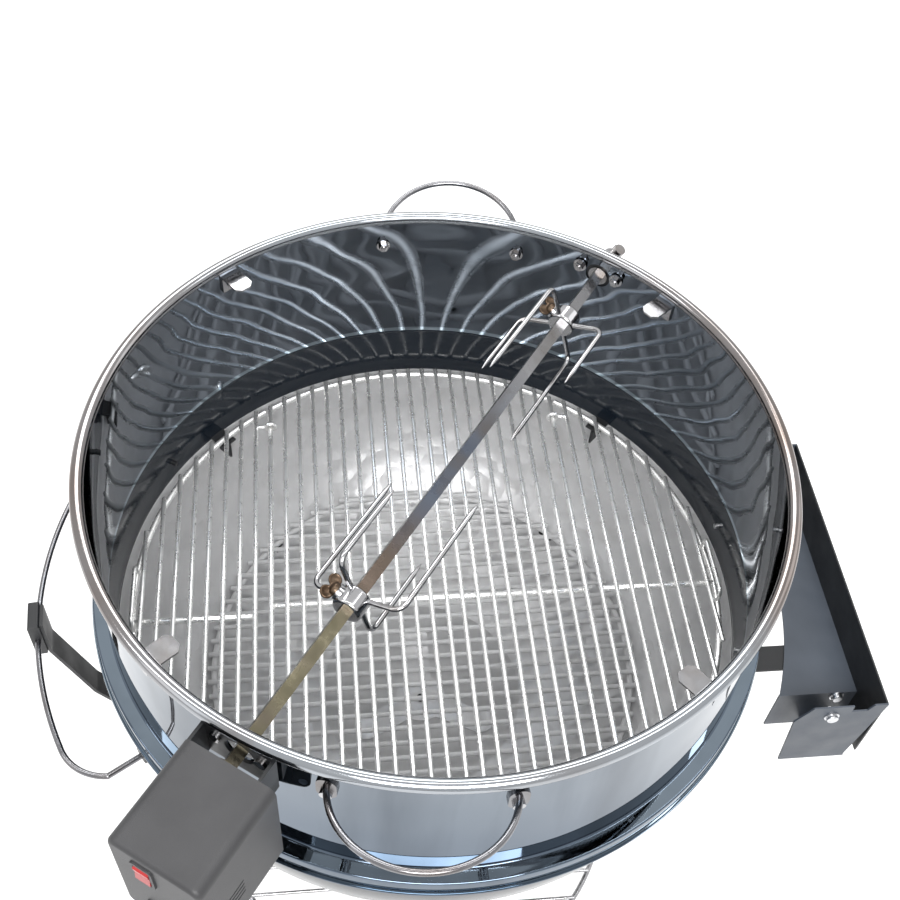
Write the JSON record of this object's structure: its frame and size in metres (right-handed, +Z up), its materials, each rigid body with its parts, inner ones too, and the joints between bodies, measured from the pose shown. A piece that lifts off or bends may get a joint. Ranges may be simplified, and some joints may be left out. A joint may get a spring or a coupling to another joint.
{
  "type": "rotisserie spit roaster",
  "caption": "Round charcoal kettle on legs and wheels with a polished rotisserie ring, motor-driven square spit with pronged forks, hinged grate, lid hoop and side tray.",
  "frame": {"origin": "on the floor under the kettle's vertical axis", "axes": "+Z up, +X to the side tray, +Y along the cooking grate's bars to the wheel side"},
  "size_m": [0.7258, 0.6871, 0.8669],
  "materials": {
    "aluminium": "dull aluminium sheet",
    "black_enamel": "gloss black porcelain enamel",
    "black_paint": "satin black powder coat",
    "brass": "heat-browned steel",
    "chrome": "bright chrome",
    "foot_plastic": "black plastic",
    "gear_plastic": "ivory acetal",
    "grate_wire": "nickel-plated wire",
    "hub_plastic": "grey-black plastic",
    "motor_plastic": "fine-textured black plastic",
    "polished_steel": "polished stainless steel",
    "slate_paint": "slate grey powder coat, satin",
    "spit_steel": "drawn stainless bar, fine scratches",
    "switch_plastic": "red gloss plastic",
    "tyre": "black moulded tyre",
    "zinc": "bright zinc"
  },
  "bodies": {
    "kettle": {"bowl": "black_enamel", "grate_supports": "black_paint", "drip_liner": "aluminium", "charcoal_grate": "spit_steel", "cooking_grate_centre": "grate_wire", "ash_catcher_collar": "black_paint", "leg_front": "black_paint", "legs_rear": "black_paint", "leg_sockets": "black_paint", "front_foot": "foot_plastic", "axle": "spit_steel", "hub_caps": "zinc", "bottom_rack": "grate_wire", "lid_holder_wire": "chrome", "lid_holder_clamps": "black_paint", "lid_holder_clip": "black_paint", "lid_holder_arm": "black_paint", "tray_outer_panel": "black_paint", "tray_plate": "slate_paint", "tray_front_plate": "slate_paint", "tray_rear_plate": "slate_paint", "tray_screws": "zinc", "tray_hangers": "black_paint", "hanger_bolts": "zinc"},
    "flap_left": {"grate_flap_left": "grate_wire"},
    "flap_right": {"grate_flap_right": "grate_wire"},
    "damper": {"damper_blades": "aluminium", "damper_lever": "black_paint"},
    "ash_bucket": {"ash_catcher": "aluminium", "ash_catcher_handle": "chrome"},
    "wheel_left": {"wheel_left_tyre": "tyre", "wheel_left_hub": "hub_plastic"},
    "wheel_right": {"wheel_right_tyre": "tyre", "wheel_right_hub": "hub_plastic"},
    "ring": {"rotisserie_ring": "polished_steel", "lid_rest_tabs": "polished_steel", "tab_rivets": "polished_steel", "ring_handles": "polished_steel", "handle_bolts": "chrome", "spit_bracket_rear": "black_paint", "spit_bracket_front": "black_paint", "bracket_bolts": "chrome", "motor_housing": "motor_plastic", "motor_cover": "motor_plastic", "motor_screws": "zinc", "gearbox_plate": "zinc", "motor_can": "zinc", "power_inlet": "motor_plastic"},
    "rocker": {"rocker_switch": "switch_plastic"},
    "pinion_shaft": {"pinion": "zinc"},
    "spit": {"spit_rod": "spit_steel", "spit_bushing": "polished_steel", "drive_socket": "spit_steel", "output_gear": "gear_plastic"},
    "fork_front": {"fork_front_hub": "chrome", "fork_front_prongs": "chrome"},
    "fork_rear": {"fork_rear_hub": "chrome", "fork_rear_prongs": "chrome"},
    "screw_front": {"fork_front_screw": "brass"},
    "screw_rear": {"fork_rear_screw": "brass"}
  },
  "joints": [
    {"name": "ring_lift", "type": "slide", "parent": "kettle", "child": "ring", "axis": [0, 0, 1], "range_m": [0, 0.25]},
    {"name": "spit_spin", "type": "hinge", "parent": "ring", "child": "spit", "pos_m": [0.00752, -0.00537, 0.825], "axis": [0.5807, 0.8141, 0], "continuous": true},
    {"name": "pinion_spin", "type": "hinge", "parent": "ring", "child": "pinion_shaft", "pos_m": [0.00752, -0.00537, 0.795], "axis": [0.5807, 0.8141, 0], "continuous": true},
    {"name": "rocker_tilt", "type": "hinge", "parent": "ring", "child": "rocker", "pos_m": [-0.21448, -0.3166, 0.831], "axis": [-0.8141, 0.5807, 0], "range_deg": [-8, 8]},
    {"name": "fork_front_slide", "type": "slide", "parent": "spit", "child": "fork_front", "axis": [0.5807, 0.8141, 0], "range_m": [-0.06, 0.06]},
    {"name": "fork_rear_slide", "type": "slide", "parent": "spit", "child": "fork_rear", "axis": [0.5807, 0.8141, 0], "range_m": [-0.06, 0.04]},
    {"name": "screw_front_turn", "type": "hinge", "parent": "fork_front", "child": "screw_front", "pos_m": [-0.07726, -0.12423, 0.825], "axis": [-0.7342, 0.5237, 0.4321], "continuous": true},
    {"name": "screw_rear_turn", "type": "hinge", "parent": "fork_rear", "child": "screw_rear", "pos_m": [0.13005, 0.16641, 0.825], "axis": [-0.7342, 0.5237, 0.4321], "continuous": true},
    {"name": "flap_left_fold", "type": "hinge", "parent": "kettle", "child": "flap_left", "pos_m": [-0.146, 0, 0.64975], "axis": [0, 1, 0], "range_deg": [0, 90]},
    {"name": "flap_right_fold", "type": "hinge", "parent": "kettle", "child": "flap_right", "pos_m": [0.146, 0, 0.64975], "axis": [0, -1, 0], "range_deg": [0, 90]},
    {"name": "damper_turn", "type": "hinge", "parent": "kettle", "child": "damper", "pos_m": [0, 0, 0.425], "axis": [0, 0, 1], "range_deg": [-60, 0]},
    {"name": "ash_bucket_drop", "type": "slide", "parent": "kettle", "child": "ash_bucket", "axis": [0, 0, -1], "range_m": [0, 0.06]},
    {"name": "wheel_left_roll", "type": "hinge", "parent": "kettle", "child": "wheel_left", "pos_m": [-0.26, 0.13647, 0.076], "axis": [1, 0, 0], "continuous": true},
    {"name": "wheel_right_roll", "type": "hinge", "parent": "kettle", "child": "wheel_right", "pos_m": [0.26, 0.13647, 0.076], "axis": [1, 0, 0], "continuous": true}
  ],
  "couplings": [
    {"joint": "pinion_spin", "follows": "spit_spin", "ratio": -4}
  ]
}
